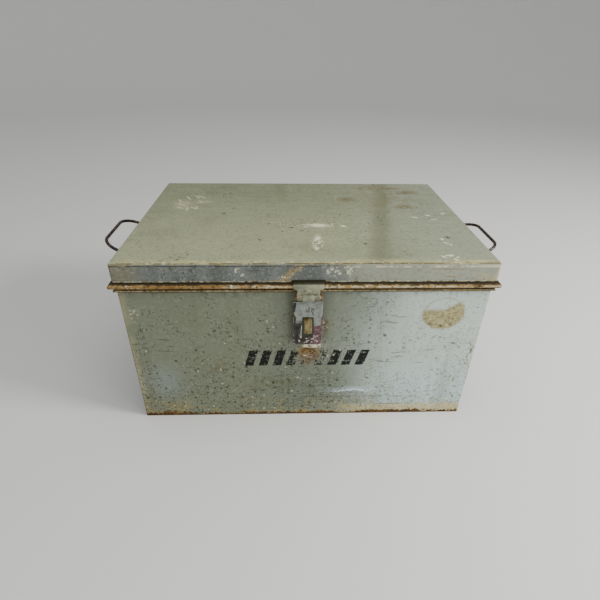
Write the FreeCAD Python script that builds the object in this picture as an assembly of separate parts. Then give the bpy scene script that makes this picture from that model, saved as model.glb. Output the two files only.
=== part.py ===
import FreeCAD, Part
import math
import os

# A sheet-steel trunk with a hinged drop-on lid, a hasp and staple in front and a rod bail on each end.
# Millimetres, +X to the trunk's right, +Y to its back, +Z up. Origin: middle of the bottom face.

os.makedirs("parts", exist_ok=True)
V = FreeCAD.Vector
X_AXIS, Y_AXIS, Z_AXIS = V(1, 0, 0), V(0, 1, 0), V(0, 0, 1)
MID = V(0, 0, 0)

# ---- overall sizes
LID_LENGTH = 610.0
LID_DEPTH = 416.0
TOTAL_HEIGHT = 326.0
SKIRT_HEIGHT = 33.0
SHEET = 1.2                     # every pressed panel
BODY_INSET = 4.0                # the body's wall stands this far inside the lid's outer face
BODY_CORNER_R = 3.0
LID_CORNER_R = 5.0
LID_EDGE_R = 3.0                # bend between the lid's top and its skirt
UPSTAND_TOP = 308.0             # the body's walls carry on up inside the lid
PAN_FLANGE = 12.0               # the bottom pan's turned-up edge
FREE_GAP = 0.3                  # between parts of different moving bodies

SKIRT_BOTTOM = TOTAL_HEIGHT - SKIRT_HEIGHT
LID_HALF_X, LID_HALF_Y = LID_LENGTH / 2, LID_DEPTH / 2
BODY_HALF_X, BODY_HALF_Y = LID_HALF_X - BODY_INSET, LID_HALF_Y - BODY_INSET

# ---- rim moulding round the top of the body, mitred at its corners: a web, a rolled bead and a thin lip
BEAD_R = 4.75
BEAD_TOP = SKIRT_BOTTOM - FREE_GAP
BEAD_Z = BEAD_TOP - BEAD_R
ROLL_GAP = 0.7                  # where the rolled edge stops short of the web
LIP_R = 2.2
RIM_BOTTOM = 276.0
MITRE_REACH = 15.0              # more than the moulding stands out

# ---- rear hinges
HINGE_X = 185.0
HINGE_WIDTH = 60.0
HINGE_AXIS_Y = LID_HALF_Y + 5.0
HINGE_AXIS_Z = 288.0
HINGE_PIN_R = 2.5
HINGE_KNUCKLE_R = 4.5
HINGE_LEAF = 2.0
KNUCKLE_COUNT = 5
KNUCKLE_GAP = 0.4
PIN_FIT = 0.05                  # radial running clearance on every hinge pin
LEAF_BOTTOM = 232.0
LEAF_TOP = 322.0
LID_OPEN_DEG = 110.0
STOP_RADIUS = 8.5
STOP_THICKNESS = 3.0
STOP_REST_DEG = 13.5            # from +Y towards +Z: the stop meets the body leaf when the lid is open
HINGE_RIVET_SPACING = 22.0
BODY_RIVET_Z = 252.0
LID_RIVET_Z = 310.0

# ---- hasp
HASP_X = 2.5
STRAP = 2.0
STRAP_WIDTH = 50.0
STRAP_NECK_WIDTH = 40.0
STRAP_NECK_Z = 284.0
STRAP_TOP = 319.0
STRAP_WRAP_R = BEAD_R + FREE_GAP
NOTCH_WIDTH = 52.0
NOTCH_HEIGHT = 3.2
HASP_AXIS_OUT = 12.0            # outwards from the body's front face
HASP_AXIS_Z = 270.0
HASP_KNUCKLE_R = 5.0
HASP_PIN_R = 2.5
TONGUE_KNUCKLE_WIDTH = 19.0
TONGUE = 2.0
TONGUE_WIDTH = 48.0
TONGUE_TOP = 260.5
TONGUE_BOTTOM = 175.5
TONGUE_CORNER_R = 7.0
SLOT_WIDTH = 19.0
SLOT_BOTTOM, SLOT_TOP = 189.0, 231.0
SLOT_CORNER_R = 1.5

# ---- staple
STAPLE_WIDTH = 12.5
STAPLE_STRIP = 2.5
STAPLE_OUT = 20.0
STAPLE_BOTTOM, STAPLE_TOP = 202.0, 228.0
STAPLE_BEND_R = 7.0
CLINCH = 8.0
BACKING = 1.5
BACKING_WIDTH, BACKING_HEIGHT = 40.0, 54.0
STAPLE_FIT = 0.25

# ---- end handles
ROD_R = 3.0
HANDLE_PLATE = 2.0
EYE_R = ROD_R + PIN_FIT + HANDLE_PLATE
HANDLE_AXIS_X = BODY_HALF_X + EYE_R
HANDLE_AXIS_Z = 268.0
LEG_HALF_SPACING = 67.2
LOOP_LENGTH = 68.0
GRIP_CORNER_R = 31.5
FOOT_CORNER_R = 6.0
FOOT_INNER_Y = 34.0
EYE_INNER_Y, EYE_OUTER_Y = 36.0, 56.0
PLATE_HALF_Y = 58.0
PLATE_BOTTOM = 236.0
HANDLE_RIVET_Z = 246.0
HANDLE_RIVET_SPACING = 42.0
LEFT_RAISED_DEG = 113.5         # swing of each bail from hanging straight down
RIGHT_RAISED_DEG = 105.5

# ---- rivets
RIVET_R = 2.0
RIVET_HOLE_R = 2.05
HEAD_R, HEAD_HEIGHT, HEAD_ROUND = 4.0, 2.2, 1.7
TAIL_R, TAIL_HEIGHT, TAIL_ROUND = 3.2, 1.2, 0.9


def block(x0, x1, y0, y1, z0, z1):
    """A box between two corners."""
    return Part.makeBox(x1 - x0, y1 - y0, z1 - z0, V(x0, y0, z0))


def edges_along(shape, axis):
    """The straight edges of a shape that run along an axis."""
    found = []
    for edge in shape.Edges:
        if isinstance(edge.Curve, Part.Line) and abs(edge.tangentAt(edge.FirstParameter).dot(axis)) > 0.999:
            found.append(edge)
    return found


def rounded_block(half_x, half_y, radius, z0, z1):
    """A block about the Z axis with its four upright corners rounded."""
    shape = block(-half_x, half_x, -half_y, half_y, z0, z1)
    return shape.makeFillet(radius, edges_along(shape, Z_AXIS))


def polygon_along_x(points, x0, x1):
    """A prism along X from a polygon of (y, z) points."""
    corners = [V(x0, y, z) for y, z in points]
    face = Part.Face(Part.makePolygon(corners + corners[:1]))
    return face.extrude(V(x1 - x0, 0, 0))


def cylinder_along_x(radius, x0, x1, y, z):
    return Part.makeCylinder(radius, x1 - x0, V(x0, y, z), X_AXIS)


def fuse(shapes):
    """One clean shape from several that touch or overlap."""
    return shapes[0].multiFuse(shapes[1:]).removeSplitter()


def export(name, shape):
    """Write one sub-part. A group of separate solids stays a compound."""
    shape.exportStep(f"parts/{name}.step")
    solids = [solid.isValid() for solid in shape.Solids]
    print(f"{name:22s} solids {len(solids)} valid {all(solids)} volume {shape.Volume:.0f}")


def rounded_pin(radius, height, rounding, base, direction):
    """A short cylinder with its far edge rounded, standing on base."""
    pin = Part.makeCylinder(radius, height)
    top = [edge for edge in pin.Edges if edge.BoundBox.ZMin > height - 0.01]
    pin = pin.makeFillet(rounding, top)
    pin.Placement = FreeCAD.Placement(base, FreeCAD.Rotation(Z_AXIS, direction))
    return pin


def rivet(outer_point, outward, grip):
    """Domed head on the outside, shank through the grip, and a spread tail inside."""
    inner_point = outer_point - outward * grip
    head = rounded_pin(HEAD_R, HEAD_HEIGHT, HEAD_ROUND, outer_point, outward)
    tail = rounded_pin(TAIL_R, TAIL_HEIGHT, TAIL_ROUND, inner_point, outward * -1)
    shank = Part.makeCylinder(RIVET_R, grip, inner_point, outward)
    return fuse([head, shank, tail])


def rivet_hole(outer_point, outward, grip):
    return Part.makeCylinder(RIVET_HOLE_R, grip + 2, outer_point - outward * (grip + 1), outward)


def rivet_row(centre, step, count=3):
    """Points of a row of rivets centred on a point."""
    return [centre + step * (i - (count - 1) / 2) for i in range(count)]


def hinge_rivet_points(z, y):
    rows = [rivet_row(V(side * HINGE_X, y, z), X_AXIS * HINGE_RIVET_SPACING) for side in (-1, 1)]
    return rows[0] + rows[1]


def handle_rivet_points(side):
    centre = V(side * (BODY_HALF_X + HANDLE_PLATE), 0, HANDLE_RIVET_Z)
    return rivet_row(centre, Y_AXIS * HANDLE_RIVET_SPACING)


# ---- body panels

def wall_tube():
    """The body's four walls in one piece, before they are parted at the corner bends."""
    outer = rounded_block(BODY_HALF_X, BODY_HALF_Y, BODY_CORNER_R, 0, UPSTAND_TOP)
    inner = rounded_block(BODY_HALF_X - SHEET, BODY_HALF_Y - SHEET, BODY_CORNER_R - SHEET, -1, UPSTAND_TOP + 1)
    return outer.cut(inner)


def long_panel(side):
    """Front or back panel with both corner bends. side is -1 for the front and 1 for the back."""
    seam = BODY_HALF_Y - BODY_CORNER_R
    far = BODY_HALF_Y + 10
    low, high = sorted((side * seam, side * far))
    keep = block(-BODY_HALF_X - 10, BODY_HALF_X + 10, low, high, -5, TOTAL_HEIGHT)
    return wall_tube().common(keep)


def front_panel():
    panel = long_panel(-1)
    for leg_z in (STAPLE_BOTTOM, STAPLE_TOP - STAPLE_STRIP):
        panel = panel.cut(staple_leg_hole(leg_z, BODY_HALF_Y - SHEET - 1, BODY_HALF_Y + 1))
    return panel


def back_panel():
    panel = long_panel(1)
    for point in hinge_rivet_points(BODY_RIVET_Z, BODY_HALF_Y + HINGE_LEAF):
        panel = panel.cut(rivet_hole(point, Y_AXIS, HINGE_LEAF + SHEET))
    return panel


def end_panel(side):
    """Flat end wall between the two corner bends. side is -1 for left and 1 for right."""
    seam = BODY_HALF_Y - BODY_CORNER_R
    low, high = sorted((side * (BODY_HALF_X - 10), side * (BODY_HALF_X + 10)))
    panel = wall_tube().common(block(low, high, -seam, seam, -5, TOTAL_HEIGHT))
    for point in handle_rivet_points(side):
        panel = panel.cut(rivet_hole(point, X_AXIS * side, HANDLE_PLATE + SHEET))
    return panel


def bottom_panel():
    """A shallow pan inside the walls, spot-welded to them through its turned-up edge."""
    radius = BODY_CORNER_R - SHEET
    outer = rounded_block(BODY_HALF_X - SHEET, BODY_HALF_Y - SHEET, radius, 0, PAN_FLANGE)
    inner = rounded_block(BODY_HALF_X - 2 * SHEET, BODY_HALF_Y - 2 * SHEET, radius - SHEET, SHEET, PAN_FLANGE + 1)
    return outer.cut(inner)


# ---- rim moulding

def section(points):
    """A face in the XZ plane from (x, z) points."""
    corners = [V(x, 0, z) for x, z in points]
    return Part.Face(Part.makePolygon(corners + corners[:1]))


def disc(radius, x, z):
    return Part.Face(Part.Wire(Part.makeCircle(radius, V(x, 0, z), Y_AXIS)))


def mitred_side(half_out, half_along):
    """The room of one side of the rim, which ends in a 45 degree mitre at both corners."""
    inner, outer = -MITRE_REACH, MITRE_REACH
    corners = [V(half_out + n, end * (half_along + n), RIM_BOTTOM - 1)
               for n, end in ((inner, -1), (outer, -1), (outer, 1), (inner, 1))]
    return Part.Face(Part.makePolygon(corners + corners[:1])).extrude(V(0, 0, SKIRT_BOTTOM - RIM_BOTTOM + 2))


def ring(face_at):
    """Carry a section round the body: face_at(offset) draws it with the body's face at x = offset."""
    sizes = ((BODY_HALF_X, BODY_HALF_Y), (BODY_HALF_Y, BODY_HALF_X)) * 2
    sides = []
    for quarter, (half_out, half_along) in enumerate(sizes):
        half_run = half_along + MITRE_REACH
        run = face_at(half_out).extrude(V(0, 2 * half_run, 0))
        run.translate(V(0, -half_run, 0))
        side = run.common(mitred_side(half_out, half_along))
        side.rotate(MID, Z_AXIS, 90 * quarter)
        sides.append(side)
    return fuse(sides)


def rectangle_at(n0, n1, z0, z1):
    return lambda offset: section(
        [(offset + n0, z0), (offset + n1, z0), (offset + n1, z1), (offset + n0, z1)])


def disc_at(radius, n, z):
    return lambda offset: disc(radius, offset + n, z)


def rim_moulding():
    web = ring(rectangle_at(0, SHEET, RIM_BOTTOM + LIP_R, BEAD_Z))
    roll = ring(disc_at(BEAD_R, BEAD_R, BEAD_Z)).cut(ring(disc_at(BEAD_R - SHEET, BEAD_R, BEAD_Z)))
    opening = ring(rectangle_at(SHEET, SHEET + ROLL_GAP, BEAD_Z - BEAD_R, BEAD_Z))
    lip = ring(disc_at(LIP_R, LIP_R, RIM_BOTTOM + LIP_R))
    rim = fuse([roll.cut(opening), web, lip])
    clearance = HINGE_WIDTH / 2 + 3
    for side in (-1, 1):
        rim = rim.cut(block(side * HINGE_X - clearance, side * HINGE_X + clearance,
                            BODY_HALF_Y + SHEET, HINGE_AXIS_Y + 10, RIM_BOTTOM - 5, SKIRT_BOTTOM))
    return rim


# ---- lid

def lid_pan():
    outer = rounded_block(LID_HALF_X, LID_HALF_Y, LID_CORNER_R, SKIRT_BOTTOM, TOTAL_HEIGHT)
    outer = outer.makeFillet(LID_EDGE_R, top_edges(outer))
    inner = rounded_block(LID_HALF_X - SHEET, LID_HALF_Y - SHEET, LID_CORNER_R - SHEET,
                          SKIRT_BOTTOM - 5, TOTAL_HEIGHT - SHEET)
    inner = inner.makeFillet(LID_EDGE_R - SHEET, top_edges(inner))
    lid = outer.cut(inner)
    lid = lid.cut(block(HASP_X - NOTCH_WIDTH / 2, HASP_X + NOTCH_WIDTH / 2,
                        -LID_HALF_Y - 1, -LID_HALF_Y + SHEET + 0.5, SKIRT_BOTTOM - 1, SKIRT_BOTTOM + NOTCH_HEIGHT))
    for point in hinge_rivet_points(LID_RIVET_Z, LID_HALF_Y + HINGE_LEAF):
        lid = lid.cut(rivet_hole(point, Y_AXIS, HINGE_LEAF + SHEET))
    return lid


def top_edges(shape):
    top = shape.BoundBox.ZMax
    return [edge for edge in shape.Edges if edge.BoundBox.ZMin > top - 0.01]


# ---- rear hinges

def knuckle_spans(side, owner):
    """X spans of a hinge's knuckles. owner 0 takes the odd ones out, owner 1 the ones between."""
    pitch = HINGE_WIDTH / KNUCKLE_COUNT
    start = side * HINGE_X - HINGE_WIDTH / 2
    return [(start + pitch * i + KNUCKLE_GAP / 2, start + pitch * (i + 1) - KNUCKLE_GAP / 2)
            for i in range(owner, KNUCKLE_COUNT, 2)]


def hinge_bore(side):
    half = HINGE_WIDTH / 2 + 5
    x = side * HINGE_X
    return cylinder_along_x(HINGE_PIN_R + PIN_FIT, x - half, x + half, HINGE_AXIS_Y, HINGE_AXIS_Z)


def hinge_body_leaf(side):
    """Leaf on the back panel. It steps out over the rim and carries the outer and middle knuckles."""
    x0, x1 = side * HINGE_X - HINGE_WIDTH / 2, side * HINGE_X + HINGE_WIDTH / 2
    face_y = BODY_HALF_Y
    neck_y = HINGE_AXIS_Y - HINGE_KNUCKLE_R
    step_z = RIM_BOTTOM - 3.5
    step = neck_y - face_y
    low_neck = HINGE_AXIS_Z - HINGE_KNUCKLE_R - 1.5

    def profile(top_z):
        return [(face_y, LEAF_BOTTOM), (face_y + HINGE_LEAF, LEAF_BOTTOM), (face_y + HINGE_LEAF, step_z),
                (neck_y + HINGE_LEAF, step_z + 1.4 * step), (neck_y + HINGE_LEAF, top_z),
                (neck_y, top_z), (neck_y, step_z + 1.6 * step), (face_y, step_z + 0.9)]

    pieces = [polygon_along_x(profile(low_neck), x0, x1)]
    for k0, k1 in knuckle_spans(side, 0):
        pieces.append(polygon_along_x(profile(HINGE_AXIS_Z), k0, k1))
        pieces.append(cylinder_along_x(HINGE_KNUCKLE_R, k0, k1, HINGE_AXIS_Y, HINGE_AXIS_Z))
    leaf = fuse(pieces).cut(hinge_bore(side))
    for point in hinge_rivet_points(BODY_RIVET_Z, face_y + HINGE_LEAF):
        leaf = leaf.cut(rivet_hole(point, Y_AXIS, HINGE_LEAF + SHEET))
    return leaf


def hinge_lid_leaf(side):
    """Leaf on the lid's rear skirt. Its knuckles carry the stops that hold the lid open."""
    x0, x1 = side * HINGE_X - HINGE_WIDTH / 2, side * HINGE_X + HINGE_WIDTH / 2
    face_y = LID_HALF_Y
    neck_y = HINGE_AXIS_Y - HINGE_KNUCKLE_R
    plate_bottom = SKIRT_BOTTOM + 0.6
    pieces = [block(x0, x1, face_y, face_y + HINGE_LEAF, plate_bottom, LEAF_TOP)]
    neck = [(face_y, plate_bottom + 2), (face_y + HINGE_LEAF, plate_bottom + 2),
            (neck_y + HINGE_LEAF, HINGE_AXIS_Z), (neck_y, HINGE_AXIS_Z), (neck_y, HINGE_AXIS_Z + 3)]
    for k0, k1 in knuckle_spans(side, 1):
        pieces.append(polygon_along_x(neck, k0, k1))
        pieces.append(cylinder_along_x(HINGE_KNUCKLE_R, k0, k1, HINGE_AXIS_Y, HINGE_AXIS_Z))
        stop = block(k0, k1, HINGE_KNUCKLE_R - 1, STOP_RADIUS, -STOP_THICKNESS / 2, STOP_THICKNESS / 2)
        stop.rotate(MID, X_AXIS, STOP_REST_DEG)
        stop.translate(V(0, HINGE_AXIS_Y, HINGE_AXIS_Z))
        pieces.append(stop)
    leaf = fuse(pieces).cut(hinge_bore(side))
    for point in hinge_rivet_points(LID_RIVET_Z, face_y + HINGE_LEAF):
        leaf = leaf.cut(rivet_hole(point, Y_AXIS, HINGE_LEAF + SHEET))
    return leaf


def headed_pin(radius, half_length, head_radius, x, y, z):
    """A pin along X with both ends spread over the knuckles."""
    head = 1.6
    shank = cylinder_along_x(radius, x - half_length, x + half_length, y, z)
    ends = [rounded_pin(head_radius, head, 0.8, V(x + side * half_length, y, z), X_AXIS * side)
            for side in (-1, 1)]
    return fuse([shank] + ends)


def hinge_pin(side):
    return headed_pin(HINGE_PIN_R, HINGE_WIDTH / 2, 3.6, side * HINGE_X, HINGE_AXIS_Y, HINGE_AXIS_Z)


def hinge_body_rivets():
    points = hinge_rivet_points(BODY_RIVET_Z, BODY_HALF_Y + HINGE_LEAF)
    return Part.makeCompound([rivet(point, Y_AXIS, HINGE_LEAF + SHEET) for point in points])


def hinge_lid_rivets():
    points = hinge_rivet_points(LID_RIVET_Z, LID_HALF_Y + HINGE_LEAF)
    return Part.makeCompound([rivet(point, Y_AXIS, HINGE_LEAF + SHEET) for point in points])


# ---- hasp and staple, on the front (-Y) face

def front_y(out):
    """Y of a point that stands this far out from the body's front face."""
    return -BODY_HALF_Y - out


def hasp_bore():
    half = STRAP_WIDTH / 2 + 5
    return cylinder_along_x(HASP_PIN_R + PIN_FIT, HASP_X - half, HASP_X + half,
                            front_y(HASP_AXIS_OUT), HASP_AXIS_Z)


def strap_over_bead(half_width):
    """The strap's bend over the bead, from inside the skirt down to the bead's middle height."""
    x0, x1 = HASP_X - half_width, HASP_X + half_width
    y = front_y(BEAD_R)
    bend = cylinder_along_x(STRAP_WRAP_R + STRAP, x0, x1, y, BEAD_Z)
    bend = bend.cut(cylinder_along_x(STRAP_WRAP_R, x0 - 1, x1 + 1, y, BEAD_Z))
    inner_face = front_y(BODY_INSET - SHEET - STRAP)
    return bend.common(block(x0, x1, y - 20, inner_face, BEAD_Z, SKIRT_BOTTOM + 10))


def hasp_strap():
    half, neck_half = STRAP_WIDTH / 2, STRAP_NECK_WIDTH / 2
    knuckle_half = TONGUE_KNUCKLE_WIDTH / 2 + KNUCKLE_GAP
    axis_y = front_y(HASP_AXIS_OUT)
    root_y = front_y(BODY_INSET - SHEET)
    root = block(HASP_X - half, HASP_X + half, root_y, root_y + STRAP, BEAD_TOP - 0.2, STRAP_TOP)
    run_y = front_y(BEAD_R + STRAP_WRAP_R + STRAP)
    upper = block(HASP_X - half, HASP_X + half, run_y, run_y + STRAP, STRAP_NECK_Z, BEAD_Z)
    neck = block(HASP_X - neck_half, HASP_X + neck_half, run_y, run_y + STRAP, HASP_AXIS_Z, STRAP_NECK_Z)
    barrel = cylinder_along_x(HASP_KNUCKLE_R, HASP_X - neck_half, HASP_X + neck_half, axis_y, HASP_AXIS_Z)
    window_top = HASP_AXIS_Z + HASP_KNUCKLE_R + 2 * FREE_GAP
    window = block(HASP_X - knuckle_half, HASP_X + knuckle_half, axis_y - 20, axis_y + 20,
                   HASP_AXIS_Z - 20, window_top)
    strap = fuse([root, strap_over_bead(half), upper, neck, barrel])
    return strap.cut(window).cut(hasp_bore())


def hasp_tongue():
    half = TONGUE_WIDTH / 2
    neck_half = TONGUE_KNUCKLE_WIDTH / 2
    axis_y = front_y(HASP_AXIS_OUT)
    back_y = axis_y + HASP_KNUCKLE_R
    plate = block(HASP_X - half, HASP_X + half, back_y - TONGUE, back_y, TONGUE_BOTTOM, TONGUE_TOP)
    corners = [edge for edge in edges_along(plate, Y_AXIS) if edge.BoundBox.ZMax < TONGUE_BOTTOM + 1]
    plate = plate.makeFillet(TONGUE_CORNER_R, corners)
    slot = block(HASP_X - SLOT_WIDTH / 2, HASP_X + SLOT_WIDTH / 2, back_y - 10, back_y + 10, SLOT_BOTTOM, SLOT_TOP)
    slot = slot.makeFillet(SLOT_CORNER_R, edges_along(slot, Y_AXIS))
    neck = block(HASP_X - neck_half, HASP_X + neck_half, back_y - TONGUE, back_y, TONGUE_TOP - 1, HASP_AXIS_Z)
    barrel = cylinder_along_x(HASP_KNUCKLE_R, HASP_X - neck_half, HASP_X + neck_half, axis_y, HASP_AXIS_Z)
    return fuse([plate.cut(slot), neck, barrel]).cut(hasp_bore())


def hasp_pin():
    half_length = STRAP_NECK_WIDTH / 2 + 0.4
    return headed_pin(HASP_PIN_R, half_length, 3.8, HASP_X, front_y(HASP_AXIS_OUT), HASP_AXIS_Z)


def staple_leg_hole(leg_z, depth0, depth1):
    """Slot for one leg of the staple, through whatever lies between two depths behind the front."""
    half = STAPLE_WIDTH / 2 + STAPLE_FIT
    return block(HASP_X - half, HASP_X + half, -depth1, -depth0,
                 leg_z - STAPLE_FIT, leg_z + STAPLE_STRIP + STAPLE_FIT)


def bent_strip(y0, y1, z0, z1, radius):
    """A bar across the staple's width with its two front edges rounded."""
    half = STAPLE_WIDTH / 2
    bar = block(HASP_X - half, HASP_X + half, y0, y1, z0, z1)
    front = [edge for edge in edges_along(bar, X_AXIS) if edge.BoundBox.YMax < y0 + 0.01]
    return bar.makeFillet(radius, front)


def staple():
    """A strip bent to a loop, its legs through the front panel and clinched on the backing plate."""
    inside_y = -BODY_HALF_Y + SHEET + BACKING
    outer = bent_strip(front_y(STAPLE_OUT), inside_y, STAPLE_BOTTOM, STAPLE_TOP, STAPLE_BEND_R)
    inner = bent_strip(front_y(STAPLE_OUT - STAPLE_STRIP), inside_y,
                       STAPLE_BOTTOM + STAPLE_STRIP, STAPLE_TOP - STAPLE_STRIP, STAPLE_BEND_R - STAPLE_STRIP)
    half = STAPLE_WIDTH / 2
    x0, x1 = HASP_X - half, HASP_X + half
    clinches = [block(x0, x1, inside_y, inside_y + STAPLE_STRIP, STAPLE_TOP - STAPLE_STRIP, STAPLE_TOP + CLINCH),
                block(x0, x1, inside_y, inside_y + STAPLE_STRIP, STAPLE_BOTTOM - CLINCH,
                      STAPLE_BOTTOM + STAPLE_STRIP)]
    return fuse([outer.cut(inner)] + clinches)


def staple_backing_plate():
    middle_z = (STAPLE_BOTTOM + STAPLE_TOP) / 2
    back_y = -BODY_HALF_Y + SHEET
    plate = block(HASP_X - BACKING_WIDTH / 2, HASP_X + BACKING_WIDTH / 2, back_y, back_y + BACKING,
                  middle_z - BACKING_HEIGHT / 2, middle_z + BACKING_HEIGHT / 2)
    plate = plate.makeFillet(4.0, edges_along(plate, Y_AXIS))
    for leg_z in (STAPLE_BOTTOM, STAPLE_TOP - STAPLE_STRIP):
        plate = plate.cut(staple_leg_hole(leg_z, BODY_HALF_Y - SHEET - BACKING - 1, BODY_HALF_Y))
    return plate


# ---- end handles

def handle(side, raised_deg):
    """A rod bail. It is drawn hanging in the plane of its pivot, then swung up to where it rests."""
    leg, reach, big, small = LEG_HALF_SPACING, LOOP_LENGTH, GRIP_CORNER_R, FOOT_CORNER_R

    def quarter_arc(y0, d0, y_mid, d_mid, y1, d1):
        return Part.Arc(V(0, y0, -d0), V(0, y_mid, -d_mid), V(0, y1, -d1)).toShape()

    def half_loop(sign):
        bend = math.sqrt(0.5)
        foot = Part.makeLine(V(0, sign * FOOT_INNER_Y, 0), V(0, sign * (leg - small), 0))
        heel = quarter_arc(sign * (leg - small), 0, sign * (leg - small + small * bend), small - small * bend,
                           sign * leg, small)
        shin = Part.makeLine(V(0, sign * leg, -small), V(0, sign * leg, big - reach))
        knee = quarter_arc(sign * leg, reach - big, sign * (leg - big + big * bend), reach - big + big * bend,
                           sign * (leg - big), reach)
        return [foot, heel, shin, knee]

    right = half_loop(1)
    left = half_loop(-1)
    grip = Part.makeLine(V(0, leg - big, -reach), V(0, big - leg, -reach))
    path = Part.Wire(Part.__sortEdges__(right + [grip] + left))
    end = Part.Wire(Part.makeCircle(ROD_R, V(0, FOOT_INNER_Y, 0), Y_AXIS))
    rod = path.makePipeShell([end], True, False)
    rod.rotate(MID, Y_AXIS, -side * raised_deg)
    rod.translate(V(side * HANDLE_AXIS_X, 0, HANDLE_AXIS_Z))
    return rod


def handle_plate(side):
    """A plate on the end panel with its top edge rolled into two eyes round the bail's feet."""
    inner_x, outer_x = sorted((side * BODY_HALF_X, side * (BODY_HALF_X + HANDLE_PLATE)))
    eye_bottom = HANDLE_AXIS_Z - EYE_R - 2
    plate = block(inner_x, outer_x, -PLATE_HALF_Y, PLATE_HALF_Y, PLATE_BOTTOM, eye_bottom)
    corners = [edge for edge in edges_along(plate, X_AXIS) if edge.BoundBox.ZMax < PLATE_BOTTOM + 1]
    pieces = [plate.makeFillet(6.0, corners)]
    bores = []
    for hand in (-1, 1):
        y0, y1 = sorted((hand * EYE_INNER_Y, hand * EYE_OUTER_Y))
        start = V(side * HANDLE_AXIS_X, y0, HANDLE_AXIS_Z)
        pieces.append(block(inner_x, outer_x, y0, y1, eye_bottom - 1, HANDLE_AXIS_Z))
        pieces.append(Part.makeCylinder(EYE_R, y1 - y0, start, Y_AXIS))
        bores.append(Part.makeCylinder(ROD_R + PIN_FIT, y1 - y0, start, Y_AXIS))
    plate = fuse(pieces)
    for bore in bores:
        plate = plate.cut(bore)
    for point in handle_rivet_points(side):
        plate = plate.cut(rivet_hole(point, X_AXIS * side, HANDLE_PLATE + SHEET))
    return plate


def handle_rivets(side):
    outward = X_AXIS * side
    return Part.makeCompound([rivet(point, outward, HANDLE_PLATE + SHEET) for point in handle_rivet_points(side)])


export("front_panel", front_panel())
export("back_panel", back_panel())
export("bottom_panel", bottom_panel())
export("rim_moulding", rim_moulding())
export("lid_pan", lid_pan())
export("hinge_body_rivets", hinge_body_rivets())
export("hinge_lid_rivets", hinge_lid_rivets())
export("hasp_strap", hasp_strap())
export("hasp_tongue", hasp_tongue())
export("hasp_pin", hasp_pin())
export("staple", staple())
export("staple_backing_plate", staple_backing_plate())
for name, side, raised in (("left", -1, LEFT_RAISED_DEG), ("right", 1, RIGHT_RAISED_DEG)):
    export(f"{name}_end_panel", end_panel(side))
    export(f"hinge_body_leaf_{name}", hinge_body_leaf(side))
    export(f"hinge_lid_leaf_{name}", hinge_lid_leaf(side))
    export(f"hinge_pin_{name}", hinge_pin(side))
    export(f"handle_{name}", handle(side, raised))
    export(f"handle_plate_{name}", handle_plate(side))
    export(f"handle_rivets_{name}", handle_rivets(side))
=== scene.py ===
import math
import random

import bmesh
import bpy
from mathutils import Matrix, Vector, noise


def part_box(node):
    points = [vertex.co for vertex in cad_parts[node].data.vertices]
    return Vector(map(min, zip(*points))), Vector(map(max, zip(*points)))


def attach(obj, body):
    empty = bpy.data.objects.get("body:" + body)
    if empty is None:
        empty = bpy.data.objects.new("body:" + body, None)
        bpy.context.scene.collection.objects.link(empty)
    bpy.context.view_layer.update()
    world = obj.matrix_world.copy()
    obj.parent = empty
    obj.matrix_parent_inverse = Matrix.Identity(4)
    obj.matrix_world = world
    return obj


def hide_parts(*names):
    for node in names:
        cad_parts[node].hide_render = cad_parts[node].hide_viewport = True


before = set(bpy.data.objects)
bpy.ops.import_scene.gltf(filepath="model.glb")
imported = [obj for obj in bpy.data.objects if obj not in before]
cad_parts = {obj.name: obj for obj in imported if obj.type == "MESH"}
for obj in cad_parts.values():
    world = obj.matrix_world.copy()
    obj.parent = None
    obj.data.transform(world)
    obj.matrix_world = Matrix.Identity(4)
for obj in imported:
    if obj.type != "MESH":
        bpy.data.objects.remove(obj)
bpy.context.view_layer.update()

# Looks of the worn steel trunk, in metres, in the CAD's frame: +X right, +Y back, +Z up.

LID_LOW, LID_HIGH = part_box("lid_pan")
WALL_LOW, WALL_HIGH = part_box("front_panel")
RIM_LOW, RIM_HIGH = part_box("rim_moulding")
TONGUE_LOW, TONGUE_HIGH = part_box("hasp_tongue")

HALF_X = WALL_HIGH.x                # the body's outer faces
HALF_Y = -WALL_LOW.y
LID_X, LID_Y = LID_HIGH.x, LID_HIGH.y
LID_TOP, SKIRT_EDGE = LID_HIGH.z, LID_LOW.z
HASP_X = (TONGUE_LOW.x + TONGUE_HIGH.x) / 2
HINGE_X = 0.185                     # the hinges' middles, either side of the trunk's own middle
MIDDLE = (0.0, 0.0, LID_TOP / 2)


def srgb(red, green, blue):
    """A colour written as a screen shows it, 0 to 255, turned into the linear values of a shader."""
    values = [c / 255 for c in (red, green, blue)]
    return [v / 12.92 if v <= 0.04045 else ((v + 0.055) / 1.055) ** 2.4 for v in values] + [1.0]


# ---- shader kit: numbers and colours in a node tree that add up like ordinary values

class Field:
    def __init__(self, kit, socket):
        self.kit = kit
        self.socket = socket

    def __add__(self, other):
        return self.kit.math("ADD", self, other)

    def __sub__(self, other):
        return self.kit.math("SUBTRACT", self, other)

    def __rsub__(self, other):
        return self.kit.math("SUBTRACT", other, self)

    def __mul__(self, other):
        return self.kit.math("MULTIPLY", self, other)

    __radd__ = __add__
    __rmul__ = __mul__

    def between(self, low, high):
        """0 up to low, 1 from high on, and a smooth step between. low may be the larger."""
        return self.kit.between(self, low, high)


ANY_ANGLE = math.pi                  # strokes spread over every direction
FRONT_FACE = (4, 2)                  # where x = 0, z = 0 of the front face lies among the faces' places
TOP_FACE = (4, 9)                    # and x = 0, y = 0 of the top face
FACE_PUSH = 0.004                    # noise pushes a face's places by half of this on average


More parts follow.
